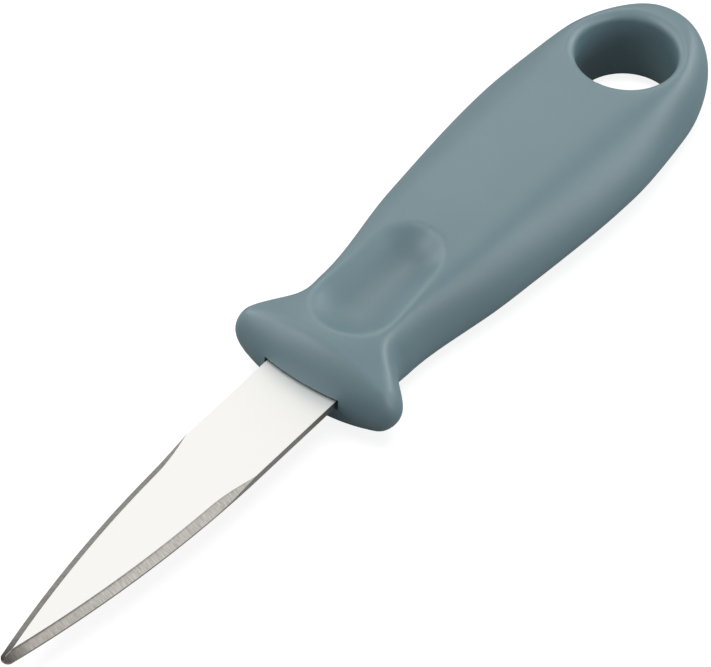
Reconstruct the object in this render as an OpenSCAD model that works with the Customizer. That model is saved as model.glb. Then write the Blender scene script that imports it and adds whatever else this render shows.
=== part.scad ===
// Oyster knife: a short ground blade in a moulded handle with a finger guard, a thumb dish and a hang hole.
// Millimetres. The knife lies flat: X runs along the blade to its tip, Z out of the blade's upper face.
// The origin is under the middle of the knife, at its lowest level.
// Stations are counted from the front of the guard towards the butt, and cut the handle's width,
// thickness and rounding out of a few named values.

/* [Blade] */
// Blade outside the handle, from the guard to the tip
blade_len = 72; // [60:0.5:85]
// Width at the guard
blade_w = 14.2; // [12.5:0.1:16]
// Thickness
blade_t = 1.4; // [1.2:0.1:1.6]
// Length over which the edges curve in to the point
edge_curve_len = 54; // [40:0.5:58]
// Width that the two curved edges would leave at the very end
point_w = 1.8; // [1.4:0.1:2.4]
// Radius of the blunted point
point_r = 1.1; // [0.9:0.05:1.3]
// Width of each ground bevel, seen from above
bevel_w = 1.4; // [1:0.05:2]
// How far each bevel drops below the upper face
bevel_drop = 1.05; // [0.6:0.05:1.1]
// Distance from the tip at which the grinding starts
bevel_start = 52.5; // [40:0.5:56]
// Length over which a bevel grows to its full width
bevel_runout = 9.5; // [4:0.5:16]

/* [Tang] */
// Length of full-width blade inside the handle
root_len = 12; // [10:0.5:16]
// Width of the tang
tang_w = 8.6; // [7:0.1:10]
// End of the tang, from the front of the guard
tang_end = 66; // [50:0.5:70]
// Diameter of the two locking holes
lock_hole_d = 4.5; // [3:0.1:5]
// First locking hole, from the front of the guard
lock_hole_at = 26; // [22:0.5:30]
// Distance between the two holes
lock_hole_pitch = 24; // [14:0.5:26]

/* [Handle outline] */
// Length of the handle
handle_len = 103.5; // [100:0.5:112]
// Width across the finger guard
guard_w = 33.2; // [28:0.1:36]
// Radius of the guard's bowed front
guard_bow_r = 49; // [36:0.5:60]
// Radius of each guard tip, seen from above
guard_tip_r = 3.3; // [2.5:0.1:4]
// Width at the hollow behind the guard
hollow_w = 21.4; // [21.1:0.1:24]
// Width of the neck
neck_w = 21; // [19.6:0.1:21.3]
// Place of the neck
neck_at = 17; // [15:0.5:20]
// Width half-way between neck and belly
waist_w = 27.8; // [26:0.1:29.5]
// Width of the belly
belly_w = 33; // [31:0.1:36]
// Place of the belly
belly_at = 69; // [64:0.5:72]
// Width across the hang hole
tail_w = 28.2; // [27:0.1:30]
// How much the side leans in at the hang hole, as a slope
tail_slope = -0.16; // [-0.22:0.01:-0.08]

/* [Handle thickness] */
// At the finger guard
guard_t = 16.9; // [15:0.1:19]
// At the neck, over the thumb dish
neck_t = 15.1; // [14.8:0.1:17.5]
// At the belly, the thickest place
belly_t = 17.6; // [16.5:0.1:20]
// At the hang hole
tail_t = 16.4; // [14.6:0.1:17.5]
// At the butt
butt_t = 14.8; // [12.6:0.1:16]
// How far the face of the guard falls, 12 mm off the middle
guard_fall = 2.6; // [1.5:0.1:4]
// How far the face falls at the neck, 12 mm off the middle
neck_fall = 0.8; // [0.4:0.1:2]
// How far the face falls at the belly, 12 mm off the middle
belly_fall = 0.7; // [0.2:0.1:2]

/* [Handle rounding] */
// Depth of the rounding at the middle of the guard's front
front_round = 5.2; // [3:0.1:5.6]
// Depth of the rounding at the guard tips
wing_round = 2.7; // [2:0.1:3.5]
// Depth of the rounding at the neck
neck_round = 3.2; // [2.2:0.1:4]
// Depth of the rounding at the belly
belly_round = 8.6; // [5:0.1:10]
// Depth of the rounding at the hang hole and the butt
tail_round = 4.2; // [3:0.1:5]
// Fullness of the rounding: 2 is an ellipse, less is flatter
round_power = 1.85; // [1.6:0.05:2.3]

/* [Thumb dish] */
// Near rim of the dish, from the front of the guard
dish_at = 8; // [7:0.1:10]
// Length of the dish
dish_len = 25.7; // [22:0.1:30]
// Width at its guard end
dish_w = 15; // [12:0.1:15.5]
// Width at its far end
dish_end_w = 12.2; // [9:0.1:14]
// Depth
dish_deep = 2.8; // [1.2:0.1:3]

/* [Hang hole] */
// Diameter of the hole
hole_d = 17.5; // [13:0.1:17.8]
// Middle of the hole, from the butt
hole_back = 16.1; // [15:0.1:18]
// Radius of its rounded rims
rim_r = 1.5; // [1:0.1:2.2]

/* [Core inside the grip] */
// Width of the core beam
core_w = 13; // [11:0.1:13.6]
// Height of the core beam
core_h = 6.4; // [5.4:0.1:6.8]
// Front of the core
core_at = 6; // [5.5:0.1:7]
// Thickness of its front plate and of each rib
rib_t = 2; // [1.2:0.1:2.6]
// Width of the front plate, which stiffens the guard
plate_w = 22; // [16:0.1:24]
// Width of the ribs in the belly
rib_w = 20; // [15:0.1:23]
// Height of the plate and the ribs
rib_h = 9.6; // [8:0.1:10.4]
// First rib
rib_at = 38; // [34:0.5:42]
// Distance between ribs
rib_pitch = 10; // [7:0.5:12]
// Grip left between the hang hole and the core's eyelet
eyelet_cover = 1.7; // [1.4:0.1:2.2]
// Wall of the eyelet
eyelet_wall = 2; // [1.6:0.1:2.4]
// Height of the eyelet
eyelet_h = 6; // [4:0.1:8]

/* [Fits] */
// Gap round the blade where it leaves the grip
slot_gap = 0.5; // [0.3:0.05:0.6]
// Play between parts that are moulded round each other
mould_gap = 0.05; // [0.02:0.01:0.1]

/* [Hidden] */

total_len = blade_len + handle_len;
front_x = total_len / 2 - blade_len;   // the front of the guard
mid_z = belly_t / 2;                   // the middle plane of blade and handle
hole_at = handle_len - hole_back;
hole_r = hole_d / 2;
tip_y = guard_w / 2 - guard_tip_r;     // centre of the arc at a guard tip
tip_s = guard_bow_r - sqrt(pow(guard_bow_r - guard_tip_r, 2) - tip_y * tip_y);
tip_turn = atan2(tip_y, guard_bow_r - tip_s);
hollow_at = tip_s + (neck_at - tip_s) * 0.61;
waist_at = (neck_at + belly_at) / 2 - 4;

// How finely the handle is divided: along its outline, and from the outline inwards
bow_steps = 8;
tip_steps = 6;
side_steps = 44;
butt_steps = 14;
shoulder_rings = 7;
face_rings = 8;

// A smooth curve through points [place, value]. It is level at its start and at each highest and lowest
// point, so it never goes past a named value, and it ends with a given slope.
function slope_at(t, i, end_slope) =
    i == 0 ? 0 : i == len(t) - 1 ? end_slope :
    let (a = t[i] - t[i - 1], b = t[i + 1] - t[i])
    a[1] * b[1] <= 0 ? 0 : (a[1] / a[0] * b[0] + b[1] / b[0] * a[0]) / (a[0] + b[0]);
function span_of(t, x, i = 0) = i >= len(t) - 2 || x <= t[i + 1][0] ? i : span_of(t, x, i + 1);
function curve(t, x, end_slope = 0) =
    let (i = span_of(t, x), w = t[i + 1][0] - t[i][0], u = min(max((x - t[i][0]) / w, 0), 1))
    (2 * u * u * u - 3 * u * u + 1) * t[i][1] + (u * u * u - 2 * u * u + u) * w * slope_at(t, i, end_slope)
    + (3 * u * u - 2 * u * u * u) * t[i + 1][1] + (u * u * u - u * u) * w * slope_at(t, i + 1, end_slope);

// Half width, half thickness, fall of the face and rounding along the handle
widths = [[tip_s, guard_w / 2], [hollow_at, hollow_w / 2], [neck_at, neck_w / 2], [waist_at, waist_w / 2],
          [belly_at, belly_w / 2], [hole_at, tail_w / 2]];
halves = [[0, guard_t / 2], [tip_s, guard_t / 2], [neck_at, neck_t / 2], [(neck_at + belly_at) / 2, belly_t / 2],
          [hole_at, tail_t / 2], [handle_len, butt_t / 2]];
falls = [[0, guard_fall], [tip_s, guard_fall], [neck_at, neck_fall],
         [waist_at, belly_fall], [hole_at, belly_fall / 2]];
rounds = [[tip_s, wing_round], [neck_at, neck_round], [belly_at, belly_round], [hole_at, tail_round],
          [handle_len, tail_round]];
// At the guard's front the rounding is wide in the middle and narrow at the tips
function round_at(s, y) = s >= tip_s ? curve(rounds, s)
    : wing_round + (front_round - wing_round) * max(0, 1 - pow(y / tip_y, 2));

// The upper face before its edges are rounded: thickness, fall to the sides and the rim of the hang hole
function face_z(s, y) =
    let (q = min(max((norm([s - hole_at, y]) - hole_r) / rim_r, 0), 1))
    curve(halves, s) - curve(falls, s) * pow(y / 12, 2) - rim_r * (1 - sqrt(1 - pow(1 - q, 2)));

// The outline of one side, from the middle of the guard's front to the end of the butt
bow = [for (i = [0:bow_steps]) let (a = tip_turn * i / bow_steps) guard_bow_r * [1 - cos(a), sin(a)]];
guard_tip = [for (i = [1:tip_steps]) let (a = 180 - tip_turn - (90 - tip_turn) * i / tip_steps)
    [tip_s, tip_y] + guard_tip_r * [cos(a), sin(a)]];
side = [for (i = [1:side_steps])
    let (u = i / side_steps, s = tip_s + (hole_at - tip_s) * (u + u * u * (3 - 2 * u)) / 2)
    [s, curve(widths, s, tail_slope)]];
butt = [for (i = [1:butt_steps]) let (a = 90 - 90 * i / butt_steps)
    [hole_at + hole_back * cos(a), (tail_w / 2 + tail_slope * hole_back * cos(a) * sin(a)) * sin(a)]];
outline = concat(bow, guard_tip, side, butt);
last = len(outline) - 1;
loop = 2 * last;

// How far a point of the face lies from the outline, seen from above
function line_dist(p, a, b) = let (t = min(max((p - a) * (b - a) / ((b - a) * (b - a)), 0), 1))
    norm(p - a - t * (b - a));
function edge_dist(p) = min([for (i = [0:last - 1]) line_dist(p, outline[i], outline[i + 1])]);

// Where the lines from the outline end: on the middle line, or on a circle just inside the hang hole
inner_r = hole_r - 0.15;
guard_last = bow_steps + tip_steps;
turn = len([for (p = outline) if (p[0] <= hole_at - 1.9 * inner_r) 1]) - 1;
spine_from = front_round + 1.5;
function inner_of(i) =
    let (s = outline[i][0], y = outline[i][1], end = outline[turn][0])
    i <= guard_last ? [spine_from + 1.5 * i / guard_last, 0]
    : i <= turn ? [spine_from + 1.5 + (hole_at - inner_r - spine_from - 1.5) * (s - tip_s) / (end - tip_s), 0]
    : let (a = s >= hole_at ? atan2(y, s - hole_at) : 90 + 90 * (hole_at - s) / (hole_at - end))
      [hole_at + inner_r * cos(a), inner_r * sin(a)];

// One line of points from the outline to its inner end: first round the shoulder, then across the face
rings = shoulder_rings + face_rings;
function line_of(i) =
    let (p = outline[i], q = inner_of(i),
         before = i == 0 ? [outline[1][0], -outline[1][1]] : outline[i - 1],
         after = i == last ? [outline[last - 1][0], -outline[last - 1][1]] : outline[i + 1],
         t = (after - before) / norm(after - before),
         depth = abs(t[0] * (p - q)[1] - t[1] * (p - q)[0]),
         f0 = min(round_at(p[0], p[1]) / depth, 0.75))
    [for (k = [0:rings])
        let (f = k <= shoulder_rings ? f0 * (1 - cos(90 * k / shoulder_rings))
                 : f0 + (1 - f0) * sin(90 * (k - shoulder_rings) / face_rings),
             m = p + (q - p) * f,
             u = k == 0 ? 0 : min(edge_dist(m) / round_at(m[0], m[1]), 1))
        [m[0], m[1], face_z(m[0], m[1]) * pow(1 - pow(1 - u, round_power), 1 / round_power)]];
lines = [for (i = [0:last]) line_of(i)];

// Points of the whole handle: upper rings first, then the lower ones, which share the outline
function point_at(k, m) = m <= last ? lines[m][k] : let (p = lines[loop - m][k]) [p[0], -p[1], p[2]];
points = concat(
    [for (k = [0:rings], m = [0:loop - 1]) point_at(k, m)],
    [for (k = [1:rings], m = [0:loop - 1]) let (p = point_at(k, m)) [p[0], p[1], -p[2]]]);
// Both sides share the points on the middle line
function place(k, m) = let (w = m % loop, o = loop - w) k == rings && w > last && o <= turn ? o : w;
function upper(k, m) = k * loop + place(k, m);
function lower(k, m) = k == 0 ? m % loop : (rings + k) * loop + place(k, m);
faces = concat(
    [for (k = [0:rings - 1], m = [0:loop - 1]) each [
        [upper(k, m), upper(k, m + 1), upper(k + 1, m + 1)], [upper(k, m), upper(k + 1, m + 1), upper(k + 1, m)],
        [lower(k, m), lower(k + 1, m + 1), lower(k, m + 1)], [lower(k, m), lower(k + 1, m), lower(k + 1, m + 1)]]],
    [for (m = [turn:loop - turn - 1]) each [
        [upper(rings, m), upper(rings, m + 1), lower(rings, m + 1)],
        [upper(rings, m), lower(rings, m + 1), lower(rings, m)]]]);

// Puts children drawn in handle stations, on the middle plane, in their place
module at_handle() {
    translate([front_x, 0, mid_z]) mirror([1, 0, 0]) children();
}

// A block between two stations, centred across
module beam(from, to, w, h) {
    translate([from, -w / 2, -h / 2]) cube([to - from, w, h]);
}

// A thumb dish in the upper face: an egg-shaped bowl, two balls with a cone that touches both
module dish() {
    a = dish_w / 2;
    b = dish_end_w / 2;
    ball_a = (a * a + dish_deep * dish_deep) / (2 * dish_deep);
    ball_b = (b * b + dish_deep * dish_deep) / (2 * dish_deep);
    at_a = [dish_at + a, face_z(dish_at + a, 0) - dish_deep + ball_a];
    at_b = [dish_at + dish_len - b, face_z(dish_at + dish_len - b, 0) - dish_deep + ball_b];
    way = at_b - at_a;
    lean = asin((ball_a - ball_b) / norm(way));
    translate([at_a[0], 0, at_a[1]]) rotate([0, 90 - atan2(way[1], way[0]), 0]) {
        sphere(ball_a, $fn = 96);
        translate([0, 0, norm(way)]) sphere(ball_b, $fn = 96);
        translate([0, 0, ball_a * sin(lean)])
            cylinder(norm(way) - (ball_a - ball_b) * sin(lean), r1 = ball_a * cos(lean), r2 = ball_b * cos(lean),
                $fn = 96);
    }
}

// Half width of the blade at a distance from the tip
function blade_half(x) =
    let (r = point_r, edge = blade_w / 2 - (blade_w - point_w) / 2 * pow(max(1 - x / edge_curve_len, 0), 2))
    x < r ? min(edge, sqrt(r * r - pow(r - x, 2)) + 0.05) : edge;
function bevel_at(x) = bevel_w * sin(90 * min(max((bevel_start - x) / bevel_runout, 0), 1));

// Outer blade: sections from the tip to the guard, each a flat back, two ground bevels and a flat face
blade_places = concat([for (a = [0:14:84]) point_r * (1 - cos(a))],
    [for (i = [0:12]) point_r + (bevel_start - bevel_runout - point_r) * pow(i / 12, 1.2)],
    [for (i = [1:6]) bevel_start - bevel_runout + bevel_runout * i / 6], [blade_len + root_len / 2]);
function blade_section(x) =
    let (w = blade_half(x), b = bevel_at(x), s = bevel_drop / bevel_w, t = blade_t / 2,
         flat = max(w - b, 0.02), top = t - max(b - w, 0) * s, side = t - max(b, 0.004) * s)
    [[x, -w, -t], [x, w, -t], [x, w, side], [x, flat, top], [x, -flat, top], [x, -w, side]];
module blade_outer() {
    n = len(blade_places) - 1;
    points = [for (x = blade_places) each blade_section(x)];
    faces = concat([[0, 1, 2, 3, 4, 5]], [[for (j = [5:-1:0]) n * 6 + j]],
        [for (i = [0:n - 1], j = [0:5]) let (k = (j + 1) % 6) each [
            [i * 6 + j, (i + 1) * 6 + k, i * 6 + k], [i * 6 + j, (i + 1) * 6 + j, (i + 1) * 6 + k]]]);
    translate([total_len / 2, 0, mid_z]) mirror([1, 0, 0]) polyhedron(points, faces, convexity = 4);
}

// The tang, drawn in handle stations; play widens it for the space it needs
module tang(play = 0) {
    difference() {
        union() {
            beam(0, root_len + play, blade_w + 2 * play, blade_t + 2 * play);
            beam(root_len - 1, tang_end - tang_w / 2, tang_w + 2 * play, blade_t + 2 * play);
            translate([tang_end - tang_w / 2, 0, -blade_t / 2 - play])
                cylinder(blade_t + 2 * play, r = tang_w / 2 + play, $fn = 64);
        }
        for (i = [0:1]) translate([lock_hole_at + i * lock_hole_pitch, 0, -blade_t])
            cylinder(2 * blade_t, r = lock_hole_d / 2 - play, $fn = 48);
    }
}

// The core's outside, drawn in handle stations
module core_outside(play = 0) {
    eyelet_r = hole_r + eyelet_cover + eyelet_wall;
    beam(core_at - play, hole_at - hole_r - eyelet_cover - 1, core_w + 2 * play, core_h + 2 * play);
    beam(core_at - play, core_at + rib_t + play, plate_w + 2 * play, rib_h + 2 * play);
    for (i = [0:3]) beam(rib_at + i * rib_pitch - play, rib_at + i * rib_pitch + rib_t + play,
        rib_w + 2 * play, rib_h + 2 * play);
    difference() {
        translate([hole_at, 0, -eyelet_h / 2 - play]) cylinder(eyelet_h + 2 * play, r = eyelet_r + play, $fn = 96);
        translate([hole_at, 0, -eyelet_h]) cylinder(2 * eyelet_h, r = hole_r + eyelet_cover - play, $fn = 96);
    }
}

// Ground and polished steel blade with its hidden tang
module blade() {
    color("#e9e9e6") union() {
        blade_outer();
        at_handle() tang();
    }
}

// Hard plastic core moulded round the tang, with an eyelet round the hang hole
module handle_core() {
    color("#3a474c") at_handle() difference() {
        core_outside();
        tang(mould_gap);
    }
}

// Soft-touch grip: guard, dishes on both faces, hang hole, and the space for core and blade
module soft_grip() {
    color("#7d9199") at_handle() difference() {
        polyhedron(points, faces, convexity = 10);
        for (up = [0, 1]) mirror([0, 0, up]) dish();
        translate([hole_at, 0, -tail_t]) cylinder(2 * tail_t, r = hole_r, $fn = 128);
        core_outside(mould_gap);
        beam(-1, core_at + 1, blade_w + 2 * slot_gap, blade_t + 2 * slot_gap);
    }
}

blade();
handle_core();
soft_grip();
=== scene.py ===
import math

import bmesh
import bpy
import numpy as np
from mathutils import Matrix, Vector


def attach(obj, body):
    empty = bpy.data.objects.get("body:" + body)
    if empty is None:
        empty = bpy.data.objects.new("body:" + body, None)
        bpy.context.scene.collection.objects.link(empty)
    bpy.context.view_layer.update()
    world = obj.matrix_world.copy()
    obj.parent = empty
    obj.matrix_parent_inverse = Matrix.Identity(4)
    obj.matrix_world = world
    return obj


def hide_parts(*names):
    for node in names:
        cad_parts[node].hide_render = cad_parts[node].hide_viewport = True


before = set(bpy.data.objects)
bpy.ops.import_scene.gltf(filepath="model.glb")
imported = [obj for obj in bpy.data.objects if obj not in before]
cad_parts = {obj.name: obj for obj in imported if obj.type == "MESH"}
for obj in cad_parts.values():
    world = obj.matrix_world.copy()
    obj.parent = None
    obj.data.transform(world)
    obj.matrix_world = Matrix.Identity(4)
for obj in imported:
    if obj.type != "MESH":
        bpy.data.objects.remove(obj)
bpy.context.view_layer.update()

mm = 0.001
knife = {"handle": 103.5, "bladeOut": 72.0, "thickest": 17.6}
tipX = (knife["handle"] + knife["bladeOut"]) / 2
frontX = tipX - knife["bladeOut"]           # front of the guard on the middle line
middleHeight = knife["thickest"] / 2        # middle plane of blade and handle above the floor
noiseLow, noiseHigh = 0.3, 0.7              # where the values of a noise texture mostly lie


# small helpers

def hexLinear(code):
    parts = [int(code[i:i + 2], 16) / 255 for i in (1, 3, 5)]
    return [p / 12.92 if p <= 0.04045 else ((p + 0.055) / 1.055) ** 2.4 for p in parts] + [1.0]


def addNode(tree, kind, inputs=None, **settings):
    node = tree.nodes.new(kind)
    for key, value in settings.items():
        setattr(node, key, value)
    for key, value in (inputs or {}).items():
        if isinstance(value, bpy.types.NodeSocket):
            tree.links.new(value, node.inputs[key])
        else:
            node.inputs[key].default_value = value
    return node


def newMaterial(name):
    made = bpy.data.materials.new(name)
    made.use_nodes = True
    made.node_tree.nodes.clear()
    return made, made.node_tree


def dress(piece, *materials):
    piece.data.materials.clear()
    for made in materials:
        piece.data.materials.append(made)


def newPiece(name, mesh):
    piece = bpy.data.objects.new(name, mesh)
    bpy.context.scene.collection.objects.link(piece)
    return piece


def takeMesh(work, name):
    mesh = bpy.data.meshes.new(name)
    work.to_mesh(mesh)
    work.free()
    return mesh


def fixNormals(mesh, weld=0.0):
    # points nearer than weld become one
    work = bmesh.new()
    work.from_mesh(mesh)
    if weld:
        bmesh.ops.remove_doubles(work, verts=work.verts, dist=weld)
    bmesh.ops.recalc_face_normals(work, faces=work.faces)
    work.to_mesh(mesh)
    work.free()


def pointPlaces(mesh):
    # every point of the mesh, in mm
    places = np.zeros(len(mesh.vertices) * 3)
    mesh.vertices.foreach_get("co", places)
    return places.reshape(-1, 3) / mm


def writeShares(mesh, name, shares):
    # a number for each point, which the materials read by its name
    mesh.attributes.new(name, "FLOAT", "POINT").data.foreach_set("value", shares)


def cutOrJoin(piece, other, operation, overlapping=False):
    # one boolean, applied to the mesh, and the other piece removed
    step = piece.modifiers.new("step", "BOOLEAN")
    step.operation, step.solver, step.object = operation, "EXACT", other
    step.use_self = overlapping
    done = bpy.data.meshes.new_from_object(piece.evaluated_get(bpy.context.evaluated_depsgraph_get()))
    piece.modifiers.remove(step)
    piece.data = done
    bpy.data.objects.remove(other)


# handle: its stations are counted from the front of the guard towards the butt

grip = {
    "guardWidth": 33.2, "bowRadius": 49.0, "tipRadius": 3.3,
    "hollowWidth": 21.4, "hollowShare": 0.61,       # of the way from the guard's tips to the neck
    "neckWidth": 21.0, "neckAt": 17.0,
    "waistWidth": 27.8, "waistForward": 4.0,        # from half-way between neck and belly
    "bellyWidth": 33.0, "bellyAt": 69.0,
    "tailWidth": 28.2, "tailSlope": -0.16,
    "guardThick": 16.9, "neckThick": 15.1, "tailThick": 16.4, "buttThick": 14.8,
    "guardFall": 2.6, "neckFall": 0.8, "bellyFall": 0.7,
    "fallAt": 12.0,             # distance from the middle line at which the crown has fallen that far
    "frontRound": 5.2, "wingRound": 2.7, "neckRound": 3.2, "bellyRound": 8.6, "tailRound": 4.2,
    "frontRunout": 2.5,         # length over which the guard's rounding turns into that of the sides
    "roundPower": 1.85,         # the shoulder is a superellipse of this power
    "shoulderEase": 0.4,        # share of the rounding over which it runs out into the face
    "holeWidth": 17.5, "holeBack": 16.1, "rimRadius": 1.9,
    "dishAt": 8.0, "dishLength": 25.7, "dishWidth": 15.0, "dishEndWidth": 12.2, "dishDepth": 2.8,
    "dishRimSoftness": 0.9,     # how far the moulded rim is softened
    "slotWidth": 15.2, "slotHeight": 2.4,
    "sharpAngle": 40,
}

gripGrid = {
    "bow": 30, "tip": 20, "side": 170, "butt": 48,      # steps round the outline
    "shoulder": 15, "face": 34,                         # steps from the outline inwards
    "dishBalls": 40,
    "spineGap": 1.5,            # from the front's rounding to the start of the middle line
    "spineGuard": 1.5,          # stretch of the middle line that the guard's points share
    "turnAt": 1.9,              # hole radii ahead of the hole's middle, where the lines turn round its edge
    "mostShoulder": 0.75,       # share of the way inwards that the shoulder may take
    "weld": 0.0002,
}

holeAt = knife["handle"] - grip["holeBack"]
holeRadius = grip["holeWidth"] / 2
tipY = grip["guardWidth"] / 2 - grip["tipRadius"]
tipAt = grip["bowRadius"] - math.sqrt((grip["bowRadius"] - grip["tipRadius"]) ** 2 - tipY ** 2)
tipTurn = math.atan2(tipY, grip["bowRadius"] - tipAt)
hollowAt = tipAt + (grip["neckAt"] - tipAt) * grip["hollowShare"]
halfWay = (grip["neckAt"] + grip["bellyAt"]) / 2
waistAt = halfWay - grip["waistForward"]

widthTable = [(tipAt, grip["guardWidth"] / 2), (hollowAt, grip["hollowWidth"] / 2),
              (grip["neckAt"], grip["neckWidth"] / 2), (waistAt, grip["waistWidth"] / 2),
              (grip["bellyAt"], grip["bellyWidth"] / 2), (holeAt, grip["tailWidth"] / 2)]
thickTable = [(0, grip["guardThick"] / 2), (tipAt, grip["guardThick"] / 2),
              (grip["neckAt"], grip["neckThick"] / 2), (halfWay, knife["thickest"] / 2),
              (holeAt, grip["tailThick"] / 2), (knife["handle"], grip["buttThick"] / 2)]
fallTable = [(0, grip["guardFall"]), (tipAt, grip["guardFall"]), (grip["neckAt"], grip["neckFall"]),
             (waistAt, grip["bellyFall"]), (holeAt, grip["bellyFall"] / 2)]
roundTable = [(tipAt, grip["wingRound"]), (grip["neckAt"], grip["neckRound"]),
              (grip["bellyAt"], grip["bellyRound"]), (holeAt, grip["tailRound"]),
              (knife["handle"], grip["tailRound"])]


def curveThrough(table, x, endSlope=0.0):
    # smooth through the table's points, level at its start and at each highest and lowest point
    xs, ys = np.array(table, float).T
    wide, rise = np.diff(xs), np.diff(ys)
    slopes = [0.0]
    for i in range(1, len(xs) - 1):
        before, after = rise[i - 1] / wide[i - 1], rise[i] / wide[i]
        blend = (before * wide[i] + after * wide[i - 1]) / (wide[i - 1] + wide[i])
        slopes.append(0.0 if before * after <= 0 else blend)
    slopes = np.array(slopes + [endSlope])
    x = np.asarray(x, float)
    i = np.clip(np.searchsorted(xs, x) - 1, 0, len(xs) - 2)
    u = np.clip((x - xs[i]) / wide[i], 0, 1)
    return ((2 * u ** 3 - 3 * u ** 2 + 1) * ys[i] + (u ** 3 - 2 * u ** 2 + u) * wide[i] * slopes[i]
            + (3 * u ** 2 - 2 * u ** 3) * ys[i + 1] + (u ** 3 - u ** 2) * wide[i] * slopes[i + 1])


def faceHeight(s, y):
    # crown of the face, and the rolled rim of the hang hole
    q = np.clip((np.hypot(s - holeAt, y) - holeRadius) / grip["rimRadius"], 0, 1)
    return (curveThrough(thickTable, s) - curveThrough(fallTable, s) * (y / grip["fallAt"]) ** 2
            - grip["rimRadius"] * (1 - np.sqrt(1 - (1 - q) ** 2)))


def roundingAt(s, y):
    # wide in the middle of the guard's front and narrow at its tips, then as the table says
    wider = grip["frontRound"] - grip["wingRound"]
    front = grip["wingRound"] + wider * np.maximum(0, 1 - (y / tipY) ** 2)
    past = np.clip((s - tipAt) / grip["frontRunout"], 0, 1)
    past = past * past * (3 - 2 * past)
    return 1 / ((1 - past) / front + past / curveThrough(roundTable, s))


def shoulderLift(inward):
    # superellipse from the outline up to the face, without a line where it ends
    near, power = grip["shoulderEase"], grip["roundPower"]
    eased = np.where(inward < 1 - near, inward, 1 - np.maximum(1 + near - inward, 0) ** 2 / (4 * near))
    return (1 - (1 - eased) ** power) ** (1 / power)


def edgeDistance(s, y, outer):
    # how far each point of the face lies from the outline, seen from above
    whole = np.concatenate([outer[::-1] * (1, -1), outer[1:]])
    nearest = np.full(s.shape, np.inf)
    for a, b in zip(whole[:-1], whole[1:]):
        run = b - a
        t = np.clip(((s - a[0]) * run[0] + (y - a[1]) * run[1]) / (run @ run), 0, 1)
        nearest = np.minimum(nearest, np.hypot(s - a[0] - t * run[0], y - a[1] - t * run[1]))
    return nearest


def dishHeight(s, y):
    # the bowl is a ball that rolls from its wide end to its narrow end; beside it nothing is cut
    a, b, deep = grip["dishWidth"] / 2, grip["dishEndWidth"] / 2, grip["dishDepth"]
    ballA, ballB = (a * a + deep * deep) / (2 * deep), (b * b + deep * deep) / (2 * deep)
    sA, sB = grip["dishAt"] + a, grip["dishAt"] + grip["dishLength"] - b
    zA = float(faceHeight(sA, 0.0)) - deep + ballA
    zB = float(faceHeight(sB, 0.0)) - deep + ballB
    clear = 99.0
    low = np.full(np.shape(s), clear)
    for t in np.linspace(0, 1, gripGrid["dishBalls"]):
        reach = (ballA + (ballB - ballA) * t) ** 2 - (s - sA - (sB - sA) * t) ** 2 - y ** 2
        floorOfBall = zA + (zB - zA) * t - np.sqrt(np.maximum(reach, 0))
        low = np.minimum(low, np.where(reach > 0, floorOfBall, clear))
    return low


def handleOutline():
    # one side from the middle of the guard's front to the middle of the butt
    n = gripGrid
    points = [(grip["bowRadius"] * (1 - math.cos(a)), grip["bowRadius"] * math.sin(a))
              for a in np.linspace(0, tipTurn, n["bow"] + 1)]
    for a in np.linspace(math.pi - tipTurn, math.pi / 2, n["tip"] + 1)[1:]:
        points.append((tipAt + grip["tipRadius"] * math.cos(a), tipY + grip["tipRadius"] * math.sin(a)))
    for u in np.linspace(0, 1, n["side"] + 1)[1:]:
        s = tipAt + (holeAt - tipAt) * (u + u * u * (3 - 2 * u)) / 2
        points.append((s, float(curveThrough(widthTable, s, grip["tailSlope"]))))
    for a in np.linspace(math.pi / 2, 0, n["butt"] + 1)[1:]:
        reach, side = grip["holeBack"] * math.cos(a), math.sin(a)
        points.append((holeAt + reach, (grip["tailWidth"] / 2 + grip["tailSlope"] * reach * side) * side))
    return np.array(points)


def innerLine(outer):
    # each point of the outline has its partner on the middle line or on the hang hole's edge
    guardLast = gripGrid["bow"] + gripGrid["tip"]
    turn = int((outer[:, 0] <= holeAt - gripGrid["turnAt"] * holeRadius).sum()) - 1
    spineFrom = grip["frontRound"] + gripGrid["spineGap"]
    sideFrom, sideEnd = spineFrom + gripGrid["spineGuard"], outer[turn][0]
    inner = []
    for i, (s, y) in enumerate(outer):
        if i <= guardLast:
            inner.append((spineFrom + gripGrid["spineGuard"] * i / guardLast, 0.0))
        elif i <= turn:
            along = (s - tipAt) / (sideEnd - tipAt)
            inner.append((sideFrom + (holeAt - holeRadius - sideFrom) * along, 0.0))
        else:
            ahead = math.pi / 2 * (1 + (holeAt - s) / (holeAt - sideEnd))
            a = math.atan2(y, s - holeAt) if s >= holeAt else ahead
            inner.append((holeAt + holeRadius * math.cos(a), holeRadius * math.sin(a)))
    return np.array(inner), turn


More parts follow.
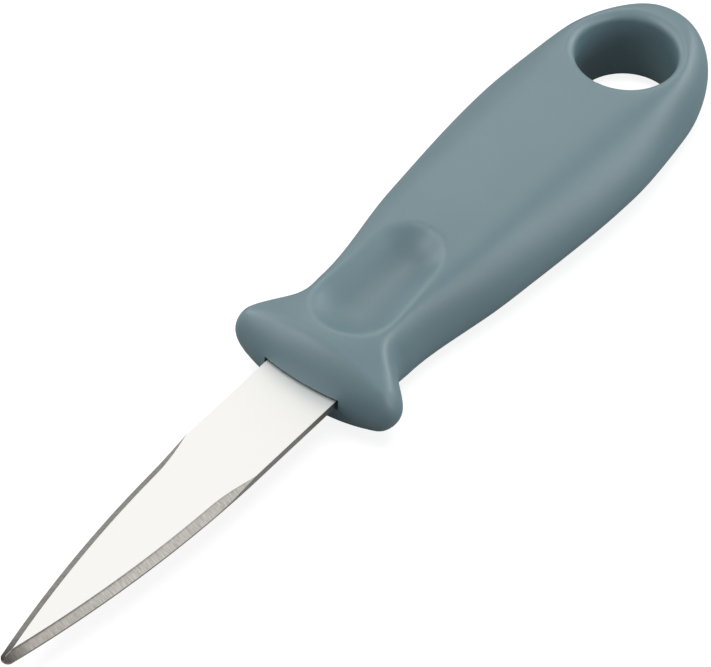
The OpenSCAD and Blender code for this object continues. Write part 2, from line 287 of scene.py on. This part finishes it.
def faceRings(outer, inner):
    # rings of points from the outline inwards, at the height of the shoulder, the face or the dish
    n = gripGrid
    ends = np.concatenate([[outer[1] * (1, -1)], outer, [outer[-2] * (1, -1)]])
    along = ends[2:] - ends[:-2]
    along /= np.linalg.norm(along, axis=1)[:, None]
    gap = outer - inner
    depth = np.abs(along[:, 0] * gap[:, 1] - along[:, 1] * gap[:, 0])
    shoulder = np.minimum(roundingAt(outer[:, 0], outer[:, 1]), depth * n["mostShoulder"]) / depth
    soft = grip["dishRimSoftness"]
    rings = [np.column_stack([outer, np.zeros(len(outer))])]
    for k in range(1, n["shoulder"] + n["face"] + 1):
        if k <= n["shoulder"]:
            way = shoulder * (1 - math.cos(math.pi / 2 * k / n["shoulder"]))
        else:
            way = shoulder + (1 - shoulder) * math.sin(math.pi / 2 * (k - n["shoulder"]) / n["face"])
        flat = outer - gap * way[:, None]
        s, y = flat[:, 0], flat[:, 1]
        z = faceHeight(s, y) * shoulderLift(edgeDistance(s, y, outer) / roundingAt(s, y))
        dish = dishHeight(s, y)
        h = np.clip(0.5 + 0.5 * (dish - z) / soft, 0, 1)         # 0 deep in the dish, 1 outside it
        rings.append(np.column_stack([flat, dish * (1 - h) + z * h - soft * h * (1 - h)]))
    return np.array(rings)


def buildHandle():
    # upper half from the rings, lower half its mirror image, and the wall of the hang hole between them
    outer = handleOutline()
    inner, turn = innerLine(outer)
    half = faceRings(outer, inner)
    whole = np.concatenate([half, half[:, -2:0:-1] * (1, -1, 1)], axis=1)
    rings, loop = whole.shape[:2]
    vertices = np.concatenate([whole.reshape(-1, 3), (whole[1:] * (1, 1, -1)).reshape(-1, 3)])
    vertices[:, 0] = frontX - vertices[:, 0]
    vertices[:, 2] += middleHeight

    def upper(k, m):
        return k * loop + m % loop

    def lower(k, m):
        return m % loop if k == 0 else (rings + k - 1) * loop + m % loop

    faces = []
    for k in range(rings - 1):
        for m in range(loop):
            faces.append((upper(k, m), upper(k, m + 1), upper(k + 1, m + 1), upper(k + 1, m)))
            faces.append((lower(k, m), lower(k + 1, m), lower(k + 1, m + 1), lower(k, m + 1)))
    edge = rings - 1
    for m in range(turn, loop - turn):
        faces.append((upper(edge, m), upper(edge, m + 1), lower(edge, m + 1), lower(edge, m)))
    mesh = bpy.data.meshes.new("softGrip")
    mesh.from_pydata((vertices * mm).tolist(), [], faces)
    fixNormals(mesh, gripGrid["weld"] * mm)
    return newPiece("softGrip", mesh)


# painted highlight: the coat is drawn lighter along tight rounded edges, where they catch the light

highlightPlaces = {
    "dishRimAt": 0.25, "dishRimWidth": 0.5, "dishRimShare": 0.7,    # heights from the face to the bowl
    "crestAt": 0.86, "crestWidth": 0.2,                             # shares of the rounding
    "frontShare": 0.45, "frontFade": 2.0,
    "behindShare": 0.2, "behindFade": 25.0,
    "holeRimAt": 0.9, "holeRimWidth": 0.7, "holeRimShare": 0.6,     # distances from the hole's wall
    "lowest": 3.5,              # height over the middle plane below which no highlight is painted
}


def markPaintedHighlights(mesh):
    # how much painted highlight each point gets, by how near it lies to the dish's rim, the crest of the
    # guard or the rim of the hang hole
    def hump(x, name):
        return np.exp(-((x - highlightPlaces[name + "At"]) / highlightPlaces[name + "Width"]) ** 2)

    place = pointPlaces(mesh)
    s, y, high = frontX - place[:, 0], place[:, 1], np.abs(place[:, 2] - middleHeight)
    rounding = roundingAt(s, y)
    inward = edgeDistance(s, y, handleOutline()) / rounding
    face = faceHeight(s, y) * shoulderLift(inward)
    dishRim = highlightPlaces["dishRimShare"] * hump(dishHeight(s, y) - face, "dishRim")
    front = np.clip((tipAt + highlightPlaces["frontFade"] - s) / highlightPlaces["frontFade"], 0, 1)
    tight = np.clip((grip["bellyRound"] - rounding) / (grip["bellyRound"] - grip["wingRound"]), 0, 1) ** 2
    behind = highlightPlaces["behindShare"] * tight * np.clip((grip["bellyAt"] - s) / highlightPlaces["behindFade"], 0, 1)
    crest = hump(inward, "crest") * (highlightPlaces["frontShare"] * front + behind * (1 - front))
    holeRim = highlightPlaces["holeRimShare"] * hump(np.hypot(s - holeAt, y) - holeRadius, "holeRim")
    highlit = np.maximum.reduce([dishRim, crest, holeRim])
    writeShares(mesh, "paintedHighlight", np.where(high > highlightPlaces["lowest"], highlit, 0.0))


# the space that the hard core and the blade's slot take inside the grip

core = {
    "at": 6.0, "width": 13.0, "height": 6.4,
    "barShort": 1.0,            # the bar ends this far ahead of the eyelet's bore
    "plateWidth": 22.0, "ribWidth": 20.0, "ribThick": 2.0, "ribHeight": 9.6,
    "ribAt": 38.0, "ribPitch": 10.0, "ribs": 4,
    "eyeletCover": 1.7, "eyeletWall": 2.0, "eyeletHeight": 6.0, "eyeletSteps": 96,
    "play": 0.05,
    "slotOverlap": 1.0,         # the slot's cut reaches this far past the front and into the core's space
}


def buildCutter():
    play, n = core["play"], core["eyeletSteps"]
    bore = holeRadius + core["eyeletCover"]
    work = bmesh.new()

    def block(start, end, wide, high):
        for v in bmesh.ops.create_cube(work, size=1)["verts"]:
            v.co = Vector((frontX - (start + end) / 2 + v.co.x * (end - start), v.co.y * wide,
                           middleHeight + v.co.z * high)) * mm

    barEnd = holeAt - bore - core["barShort"]
    block(core["at"] - play, barEnd, core["width"] + 2 * play, core["height"] + 2 * play)
    plates = [(core["at"], core["plateWidth"])]
    plates += [(core["ribAt"] + i * core["ribPitch"], core["ribWidth"]) for i in range(core["ribs"])]
    for at, wide in plates:
        block(at - play, at + core["ribThick"] + play, wide + 2 * play, core["ribHeight"] + 2 * play)
    block(-core["slotOverlap"], core["at"] + core["slotOverlap"], grip["slotWidth"], grip["slotHeight"])

    # eyelet ring, turned round the hang hole
    inside, outside, high = bore - play, bore + core["eyeletWall"] + play, core["eyeletHeight"] / 2 + play
    section = ((inside, -high), (outside, -high), (outside, high), (inside, high))
    rim = []
    for a in np.linspace(0, 2 * math.pi, n + 1)[:-1]:
        rim.append([work.verts.new(Vector((frontX - holeAt + r * math.cos(a), r * math.sin(a),
                                           middleHeight + z)) * mm) for r, z in section])
    for i in range(n):
        here, after = rim[i], rim[(i + 1) % n]
        for j in range(len(section)):
            k = (j + 1) % len(section)
            work.faces.new((here[j], here[k], after[k], after[j]))
    bmesh.ops.recalc_face_normals(work, faces=work.faces)
    return newPiece("cutter", takeMesh(work, "cutter"))


gripFinish = {
    "colour": "#5f7b84", "cloudColour": "#67828a",
    "cloudSize": 9.0,           # slow change of tone of the soft coat
    # painted highlight: the lighter colour drawn on tight edges, and how much of it
    "highlightColour": "#8aa4a9", "highlightStrength": 0.42,
    "grainSize": 0.22,          # spark-eroded mould grain, drawn coarser than the real 0.05 mm
    "grainDepth": 0.03, "grainStrength": 0.25,
    "rough": (0.45, 0.55), "specular": 0.9,
}


def softTouchElastomer():
    # thermoplastic elastomer, moulded on the core: matt, with a fine grain, and with a painted highlight,
    # drawn lighter, on tight edges
    look = gripFinish
    made, tree = newMaterial("softTouchElastomer")
    place = addNode(tree, "ShaderNodeTexCoord").outputs["Object"]
    cloud = addNode(tree, "ShaderNodeTexNoise", {
        "Vector": place, "Scale": 1 / (look["cloudSize"] * mm), "Detail": 3.0})
    grain = addNode(tree, "ShaderNodeTexNoise", {
        "Vector": place, "Scale": 1 / (look["grainSize"] * mm), "Detail": 2.0})
    tone = addNode(tree, "ShaderNodeMix", {
        0: cloud.outputs[0], 6: hexLinear(look["colour"]), 7: hexLinear(look["cloudColour"])},
        data_type="RGBA")
    # painted highlight along the dish's rim, the guard's crest and the hang hole's rim
    edge = addNode(tree, "ShaderNodeAttribute", attribute_name="paintedHighlight")
    share = addNode(tree, "ShaderNodeMath", {
        0: edge.outputs["Fac"], 1: look["highlightStrength"]}, operation="MULTIPLY")
    highlit = addNode(tree, "ShaderNodeMix", {
        0: share.outputs[0], 6: tone.outputs[2], 7: hexLinear(look["highlightColour"])}, data_type="RGBA")
    rough = addNode(tree, "ShaderNodeMapRange", {
        0: grain.outputs[0], 1: noiseLow, 2: noiseHigh, 3: look["rough"][0], 4: look["rough"][1]})
    bump = addNode(tree, "ShaderNodeBump", {
        "Strength": look["grainStrength"], "Distance": look["grainDepth"] * mm, "Height": grain.outputs[0]})
    body = addNode(tree, "ShaderNodeBsdfPrincipled", {
        "Base Color": highlit.outputs[2], "Roughness": rough.outputs[0], "Normal": bump.outputs[0],
        "IOR": 1.5, "Specular IOR Level": look["specular"]})
    addNode(tree, "ShaderNodeOutputMaterial", {"Surface": body.outputs[0]})
    return made


# blade: its places are counted from the tip, and those of its tang from the front of the guard

blade = {
    "width": 14.2, "thick": 1.4, "edgeCurve": 54.0, "pointWidth": 1.8, "pointRadius": 1.1,
    "bevelWidth": 1.4, "bevelDrop": 1.05, "bevelStart": 52.5, "bevelRunout": 9.5,
    "root": 12.0, "tangWidth": 8.6, "tangEnd": 66.0,
    "lockHole": 4.5, "lockHoleAt": 26.0, "lockHolePitch": 24.0, "lockHoles": 2,
    "pointLip": 0.05, "leastFlat": 0.02, "leastBevel": 0.004,       # these keep the faces at the point open
    "sharpAngle": 18,
}

bladeGrid = {
    "point": 12, "pointTurn": 84, "bevel": 60, "runout": 22,
    "spread": 1.2,              # power by which the rows lie closer together towards the point
    "tangEnd": 33, "lockHole": 48,
}


def bladeHalf(x):
    # half the width: curved edges that end in a round point
    taper = (blade["width"] - blade["pointWidth"]) / 2
    edge = blade["width"] / 2 - taper * max(1 - x / blade["edgeCurve"], 0) ** 2
    r = blade["pointRadius"]
    if x >= r:
        return edge
    return min(edge, math.sqrt(max(r * r - (r - x) ** 2, 0)) + blade["pointLip"])


def bevelAt(x):
    grown = min(max((blade["bevelStart"] - x) / blade["bevelRunout"], 0), 1)
    return blade["bevelWidth"] * math.sin(math.pi / 2 * grown)


def bladePlaces():
    r, fullFrom = blade["pointRadius"], blade["bevelStart"] - blade["bevelRunout"]
    turns = np.linspace(0, math.radians(bladeGrid["pointTurn"]), bladeGrid["point"])
    places = [r * (1 - math.cos(a)) for a in turns]
    places += [r + (fullFrom - r) * u ** bladeGrid["spread"] for u in np.linspace(0, 1, bladeGrid["bevel"])]
    places += list(np.linspace(fullFrom, blade["bevelStart"], bladeGrid["runout"])[1:])
    return places + [knife["bladeOut"] + blade["root"] / 2]


def buildBlade():
    # a row of cross-sections, each with the underside, two sides, two bevels and the flat
    half, slope = blade["thick"] / 2, blade["bevelDrop"] / blade["bevelWidth"]
    vertices, faces = [], []
    for x in bladePlaces():
        w, b = bladeHalf(x), bevelAt(x)
        flat = max(w - b, blade["leastFlat"])
        top = half - max(b - w, 0) * slope
        side = half - max(b, blade["leastBevel"]) * slope
        section = ((-w, -half), (w, -half), (w, side), (flat, top), (-flat, top), (-w, side))
        vertices += [Vector((tipX - x, y, middleHeight + z)) * mm for y, z in section]
    n = len(section)
    for i in range(0, len(vertices) - n, n):
        for j in range(n):
            k = (j + 1) % n
            faces.append((i + j, i + k, i + n + k, i + n + j))
    faces += [tuple(range(n - 1, -1, -1)), tuple(range(len(vertices) - n, len(vertices)))]
    mesh = bpy.data.meshes.new("blade")
    mesh.from_pydata(vertices, [], faces)
    fixNormals(mesh)
    piece = newPiece("steelBlade", mesh)
    cutOrJoin(piece, buildTang(), "UNION")
    return piece


def buildTang():
    # flat plate with a round end and two locking holes, filled between its outlines and drawn up
    root, rootHalf, half = blade["root"], blade["width"] / 2, blade["tangWidth"] / 2
    endAt = blade["tangEnd"] - half
    outline = [(0, -rootHalf), (root, -rootHalf), (root, -half)]
    outline += [(endAt + half * math.cos(a), half * math.sin(a))
                for a in np.linspace(-math.pi / 2, math.pi / 2, bladeGrid["tangEnd"])]
    outline += [(root, half), (root, rootHalf), (0, rootHalf)]
    lines, r = [outline], blade["lockHole"] / 2
    for i in range(blade["lockHoles"]):
        at = blade["lockHoleAt"] + i * blade["lockHolePitch"]
        lines.append([(at + r * math.cos(a), r * math.sin(a))
                      for a in np.linspace(0, 2 * math.pi, bladeGrid["lockHole"] + 1)[:-1]])
    low = middleHeight - blade["thick"] / 2
    work = bmesh.new()
    edges = []
    for line in lines:
        ring = [work.verts.new(Vector((frontX - s, y, low)) * mm) for s, y in line]
        edges += [work.edges.new((ring[i], ring[(i + 1) % len(ring)])) for i in range(len(ring))]
    bmesh.ops.triangle_fill(work, edges=edges, use_beauty=True)
    for part in bmesh.ops.extrude_face_region(work, geom=work.faces[:])["geom"]:
        if isinstance(part, bmesh.types.BMVert):
            part.co.z += blade["thick"] * mm
    mesh = takeMesh(work, "tang")
    fixNormals(mesh)
    return newPiece("tang", mesh)


def markBevels(mesh):
    # 0 at the outer edge of a bevel, 1 where it meets the flat
    place = pointPlaces(mesh)
    fromTip = tipX - place[:, 0]
    half, wide = (np.array([f(x) for x in fromTip]) for f in (bladeHalf, bevelAt))
    narrowest = 0.01
    across = np.clip((half - np.abs(place[:, 1])) / np.maximum(wide, narrowest), 0, 1)
    writeShares(mesh, "acrossBevel", across)


bladeFinish = {
    "flatColour": "#f9f8f4", "flatRough": (0.33, 0.4),
    "flatMetal": 0.7,           # the fine satin scatters part of the light
    "rollLength": 16.67, "rollWidth": 0.4,          # faint lines of the cold rolling
    "scratchDark": "#9d9891", "scratchLight": "#cecbc5", "bevelRough": 0.3,
    "scratchPitch": 0.2,        # between the cross scratches of the grinding wheel
    "scratchLong": 9,           # times as long as they are apart
    "scratchTurn": 6, "scratchDepth": 0.01, "scratchStrength": 0.5,
    "scratchLow": 0.3, "scratchHigh": 0.62,         # noise values of the dark and the light tone
    "brownColour": "#857c73", "brownShare": 0.36,
    "brownFrom": 19.75, "brownTo": 0.75,            # distances from the tip, as the next four are
    "pointColour": "#4a4846", "pointShare": 0.9, "pointFrom": 5.25, "pointTo": 0.55,
    # painted shade: a dark line along the crease between bevel and flat
    "creaseShadeColour": "#5e5b57", "creaseShadeFrom": 42.75, "creaseShadeTo": 5.75,
    "creaseShadeStart": 0.76,          # share of the bevel's width, from its outer edge
    "creaseShadeFaint": 0.3,           # strength of the painted shade far from the tip, and on the -y side
    "creaseShadeMiddle": 1.0,          # half the width over which one side's strength turns into the other's
    "sideDark": "#a4a29e", "sideLight": "#c3c1bd", "sideRough": 0.3,
    "blankLength": 1.111, "blankHeight": 0.1667,    # short lines along the blanked edge
    "flatUp": 0.96, "bevelUp": 0.3,                 # least upright part of a face's normal
}


def polishedSteel():
    # stainless steel strip, cold rolled and fine-satin polished: shows the white room, hardly any grain
    look = bladeFinish
    made, tree = newMaterial("polishedStainlessSteel")
    place = addNode(tree, "ShaderNodeTexCoord").outputs["Object"]
    long, wide = 1 / (look["rollLength"] * mm), 1 / (look["rollWidth"] * mm)
    drawn = addNode(tree, "ShaderNodeMapping", {"Vector": place, "Scale": (long, wide, wide)})
    lines = addNode(tree, "ShaderNodeTexNoise", {"Vector": drawn.outputs[0], "Scale": 1.0, "Detail": 2.0})
    rough = addNode(tree, "ShaderNodeMapRange", {
        0: lines.outputs[0], 1: noiseLow, 2: noiseHigh, 3: look["flatRough"][0], 4: look["flatRough"][1]})
    body = addNode(tree, "ShaderNodeBsdfPrincipled", {
        "Base Color": hexLinear(look["flatColour"]), "Metallic": look["flatMetal"],
        "Roughness": rough.outputs[0]})
    addNode(tree, "ShaderNodeOutputMaterial", {"Surface": body.outputs[0]})
    return made


def groundBevelSteel():
    # the same steel, ground across the edge on a wheel: short scratches, darker to the tip
    look = bladeFinish
    made, tree = newMaterial("wheelGroundSteel")
    place = addNode(tree, "ShaderNodeTexCoord").outputs["Object"]
    pitch = 1 / (look["scratchPitch"] * mm)
    turned = addNode(tree, "ShaderNodeMapping", {
        "Vector": place, "Scale": (pitch, pitch / look["scratchLong"], pitch / look["scratchLong"]),
        "Rotation": (0, 0, math.radians(look["scratchTurn"]))})
    lines = addNode(tree, "ShaderNodeTexNoise", {
        "Vector": turned.outputs[0], "Scale": 1.0, "Detail": 5.0, "Roughness": 0.7})
    light = addNode(tree, "ShaderNodeMapRange", {
        0: lines.outputs[0], 1: look["scratchLow"], 2: look["scratchHigh"], 3: 0.0, 4: 1.0})
    tone = addNode(tree, "ShaderNodeMix", {
        0: light.outputs[0], 6: hexLinear(look["scratchDark"]), 7: hexLinear(look["scratchLight"])},
        data_type="RGBA")
    split = addNode(tree, "ShaderNodeSeparateXYZ", {0: place})
    nearTip = addNode(tree, "ShaderNodeMapRange", {
        0: split.outputs[0], 1: (tipX - look["brownFrom"]) * mm, 2: (tipX - look["brownTo"]) * mm,
        3: 0.0, 4: look["brownShare"]})
    browned = addNode(tree, "ShaderNodeMix", {
        0: nearTip.outputs[0], 6: tone.outputs[2], 7: hexLinear(look["brownColour"])}, data_type="RGBA")
    atPoint = addNode(tree, "ShaderNodeMapRange", {
        0: split.outputs[0], 1: (tipX - look["pointFrom"]) * mm, 2: (tipX - look["pointTo"]) * mm,
        3: 0.0, 4: look["pointShare"]})
    pointed = addNode(tree, "ShaderNodeMix", {
        0: atPoint.outputs[0], 6: browned.outputs[2], 7: hexLinear(look["pointColour"])}, data_type="RGBA")

    # painted shade: a darker line where the bevel meets the flat, stronger to the tip and on the +y side
    across = addNode(tree, "ShaderNodeAttribute", attribute_name="acrossBevel")
    inner = addNode(tree, "ShaderNodeMapRange", {
        0: across.outputs["Fac"], 1: look["creaseShadeStart"], 2: 1.0, 3: 0.0, 4: 1.0})
    strength = addNode(tree, "ShaderNodeMapRange", {
        0: split.outputs[0], 1: (tipX - look["creaseShadeFrom"]) * mm, 2: (tipX - look["creaseShadeTo"]) * mm,
        3: look["creaseShadeFaint"], 4: 1.0})
    sideStrength = addNode(tree, "ShaderNodeMapRange", {
        0: split.outputs[1], 1: -look["creaseShadeMiddle"] * mm, 2: look["creaseShadeMiddle"] * mm,
        3: look["creaseShadeFaint"], 4: 1.0})
    line = addNode(tree, "ShaderNodeMath", {
        0: inner.outputs[0], 1: strength.outputs[0]}, operation="MULTIPLY")
    creaseShade = addNode(tree, "ShaderNodeMath", {
        0: line.outputs[0], 1: sideStrength.outputs[0]}, operation="MULTIPLY")
    lined = addNode(tree, "ShaderNodeMix", {
        0: creaseShade.outputs[0], 6: pointed.outputs[2], 7: hexLinear(look["creaseShadeColour"])},
        data_type="RGBA", blend_type="MULTIPLY")
    bump = addNode(tree, "ShaderNodeBump", {
        "Strength": look["scratchStrength"], "Distance": look["scratchDepth"] * mm,
        "Height": lines.outputs[0]})
    body = addNode(tree, "ShaderNodeBsdfPrincipled", {
        "Base Color": lined.outputs[2], "Metallic": 1.0, "Roughness": look["bevelRough"],
        "Normal": bump.outputs[0]})
    addNode(tree, "ShaderNodeOutputMaterial", {"Surface": body.outputs[0]})
    return made


def blankedSteelEdge():
    # edge of the strip as blanked and deburred: plain mid grey
    look = bladeFinish
    made, tree = newMaterial("blankedSteelEdge")
    place = addNode(tree, "ShaderNodeTexCoord").outputs["Object"]
    long, high = 1 / (look["blankLength"] * mm), 1 / (look["blankHeight"] * mm)
    drawn = addNode(tree, "ShaderNodeMapping", {"Vector": place, "Scale": (long, long, high)})
    lines = addNode(tree, "ShaderNodeTexNoise", {"Vector": drawn.outputs[0], "Scale": 1.0, "Detail": 2.0})
    tone = addNode(tree, "ShaderNodeMix", {
        0: lines.outputs[0], 6: hexLinear(look["sideDark"]), 7: hexLinear(look["sideLight"])},
        data_type="RGBA")
    body = addNode(tree, "ShaderNodeBsdfPrincipled", {
        "Base Color": tone.outputs[2], "Metallic": 1.0, "Roughness": look["sideRough"]})
    addNode(tree, "ShaderNodeOutputMaterial", {"Surface": body.outputs[0]})
    return made


# hard core: the CAD solid, with its finish

coreFinish = {"dark": "#2c3234", "light": "#33393b", "flowSize": 5.556, "rough": 0.45}


def mouldedPolypropylene():
    # satin moulded plastic with faint flow marks
    look = coreFinish
    made, tree = newMaterial("mouldedPolypropylene")
    place = addNode(tree, "ShaderNodeTexCoord").outputs["Object"]
    flow = addNode(tree, "ShaderNodeTexNoise", {
        "Vector": place, "Scale": 1 / (look["flowSize"] * mm), "Detail": 3.0, "Distortion": 1.5})
    tone = addNode(tree, "ShaderNodeMix", {
        0: flow.outputs[0], 6: hexLinear(look["dark"]), 7: hexLinear(look["light"])}, data_type="RGBA")
    body = addNode(tree, "ShaderNodeBsdfPrincipled", {
        "Base Color": tone.outputs[2], "Roughness": look["rough"], "IOR": 1.49})
    addNode(tree, "ShaderNodeOutputMaterial", {"Surface": body.outputs[0]})
    return made


# the three pieces

softGrip = buildHandle()
print("handle shell:", len(softGrip.data.polygons), "faces")
cutOrJoin(softGrip, buildCutter(), "DIFFERENCE", overlapping=True)
markPaintedHighlights(softGrip.data)
softGrip.data.shade_smooth()
softGrip.data.set_sharp_from_angle(angle=math.radians(grip["sharpAngle"]))
dress(softGrip, softTouchElastomer())
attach(softGrip, "root")
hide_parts("soft_grip")
print("handle cut for core and slot:", len(softGrip.data.polygons), "faces")

steelBlade = buildBlade()
markBevels(steelBlade.data)
dress(steelBlade, polishedSteel(), groundBevelSteel(), blankedSteelEdge())
for face in steelBlade.data.polygons:
    up = face.normal.z
    face.material_index = 0 if abs(up) > bladeFinish["flatUp"] else 1 if up > bladeFinish["bevelUp"] else 2
steelBlade.data.shade_smooth()
steelBlade.data.set_sharp_from_angle(angle=math.radians(blade["sharpAngle"]))
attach(steelBlade, "root")
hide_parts("blade")
print("blade:", len(steelBlade.data.polygons), "faces")

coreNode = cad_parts["handle_core"]
dress(coreNode, mouldedPolypropylene())
print("core dressed")


# floor, light and camera

studio = {
    "floorHalf": 3000,
    "floorGrey": 0.08,          # what the floor gives back to the underside of the knife
    "floorMirror": 0.4,         # what the steel's mirror shows of it, dark where the knife shades it
    "floorPaper": 0.35,         # its own tone where the camera looks, which carries the shadow
    "floorShown": 0.86,         # light added there, so that the paper shows white
    "worldFill": 0.275,
    "lampDistance": 1200,
    "lamps": [                  # name, direction round and up, side, power in watts, what it lights
        ("rightSoftBox", 90, 15, 500, 4.2, "grip"),
        ("buttRightSoftBox", 135, 22, 500, 2.8, "grip"),
        ("buttSideSoftBox", 165, 15, 500, 3.1, "grip"),
        ("backLeftSoftBox", 219, 45, 500, 2.2, "grip"),
        ("leftSoftBox", 270, 15, 500, 2.9, "grip"),
        ("frontLeftSoftBox", 315, 15, 500, 1.7, "grip"),
        ("highFrontSoftBox", 315, 45, 500, 3.6, "grip"),
        ("bladeSoftBox", 0, 88, 900, 11.0, "rest"),
    ],
    "target": (1.199, 0.037, 8.8), "azimuth": 128.724, "elevation": 48.117, "distance": 878.5,
    "focalPixels": 5421.9, "framePixels": 711,      # focal length in a frame of this width
    "sensorWidth": 36.0, "clipStart": 50,
}


def pickSeen(tree, withMirrors):
    # 1 where the camera looks, also through glass and perhaps in a mirror, 0 where light is gathered
    path = addNode(tree, "ShaderNodeLightPath")
    seen = addNode(tree, "ShaderNodeMath", {
        0: path.outputs["Is Camera Ray"], 1: path.outputs["Is Transmission Ray"]},
        operation="MAXIMUM").outputs[0]
    mirrors = path.outputs["Is Glossy Ray"]
    if withMirrors:
        seen = addNode(tree, "ShaderNodeMath", {0: seen, 1: mirrors}, operation="MAXIMUM").outputs[0]
    return seen, mirrors


def buildFloor():
    mesh = bpy.data.meshes.new("floor")
    half = studio["floorHalf"] * mm
    corners = [(-half, -half, 0), (half, -half, 0), (half, half, 0), (-half, half, 0)]
    mesh.from_pydata(corners, [], [(0, 1, 2, 3)])
    floor = newPiece("studioFloor", mesh)
    made, tree = newMaterial("whitePaperFloor")
    seen, mirrors = pickSeen(tree, False)
    grey, mirrored, paper = (
        addNode(tree, "ShaderNodeBsdfDiffuse", {"Color": (studio[name],) * 3 + (1,)}).outputs[0]
        for name in ("floorGrey", "floorMirror", "floorPaper"))
    lift = addNode(tree, "ShaderNodeEmission", {"Strength": studio["floorShown"]})
    shown = addNode(tree, "ShaderNodeAddShader", {0: paper, 1: lift.outputs[0]})
    gathered = addNode(tree, "ShaderNodeMixShader", {0: mirrors, 1: grey, 2: mirrored})
    mixed = addNode(tree, "ShaderNodeMixShader", {0: seen, 1: gathered.outputs[0], 2: shown.outputs[0]})
    addNode(tree, "ShaderNodeOutputMaterial", {"Surface": mixed.outputs[0]})
    dress(floor, made)
    return floor


def buildWorld():
    world = bpy.data.worlds.new("studioWorld")
    world.use_nodes = True
    tree = world.node_tree
    tree.nodes.clear()
    seen = pickSeen(tree, True)[0]
    fill = addNode(tree, "ShaderNodeBackground", {"Color": (1, 1, 1, 1), "Strength": studio["worldFill"]})
    white = addNode(tree, "ShaderNodeBackground", {"Color": (1, 1, 1, 1), "Strength": 1.0})
    mixed = addNode(tree, "ShaderNodeMixShader", {0: seen, 1: fill.outputs[0], 2: white.outputs[0]})
    addNode(tree, "ShaderNodeOutputWorld", {"Surface": mixed.outputs[0]})
    bpy.context.scene.world = world


def softBox(name, around, up, side, power, lights):
    # the grip's boxes shine in its matt coat; the blade's box stays out of the steel's mirror
    lamp = bpy.data.lights.new(name, "AREA")
    lamp.shape, lamp.size, lamp.energy = "SQUARE", side * mm, power
    lampObject = newPiece(name, lamp)
    a, e = math.radians(around), math.radians(up)
    direction = Vector((math.cos(e) * math.cos(a), math.cos(e) * math.sin(a), math.sin(e)))
    lampObject.location = direction * studio["lampDistance"] * mm
    lampObject.rotation_euler = lampObject.location.to_track_quat("Z", "Y").to_euler()
    lampObject.visible_glossy = lights == "grip"
    lampObject.light_linking.receiver_collection = litGroups[lights]


def buildCamera():
    camera = newPiece("camera", bpy.data.cameras.new("camera"))
    az, el = math.radians(studio["azimuth"]), math.radians(studio["elevation"])
    way = Vector((math.sin(az) * math.cos(el), -math.cos(az) * math.cos(el), math.sin(el)))
    camera.location = Vector(studio["target"]) * mm + way * studio["distance"] * mm
    camera.rotation_euler = (-way).to_track_quat("-Z", "Y").to_euler()
    camera.data.sensor_fit = "HORIZONTAL"
    camera.data.sensor_width = studio["sensorWidth"]
    camera.data.lens = studio["focalPixels"] * studio["sensorWidth"] / studio["framePixels"]
    camera.data.clip_start = studio["clipStart"] * mm
    return camera


floor = buildFloor()
buildWorld()
litGroups = {"grip": bpy.data.collections.new("litGrip"), "rest": bpy.data.collections.new("litRest")}
litGroups["grip"].objects.link(softGrip)
for lit in (steelBlade, coreNode, floor):
    litGroups["rest"].objects.link(lit)
for lampValues in studio["lamps"]:
    softBox(*lampValues)
bpy.context.scene.camera = buildCamera()
bpy.context.scene.view_settings.view_transform = "Standard"
print("floor, light and camera set")
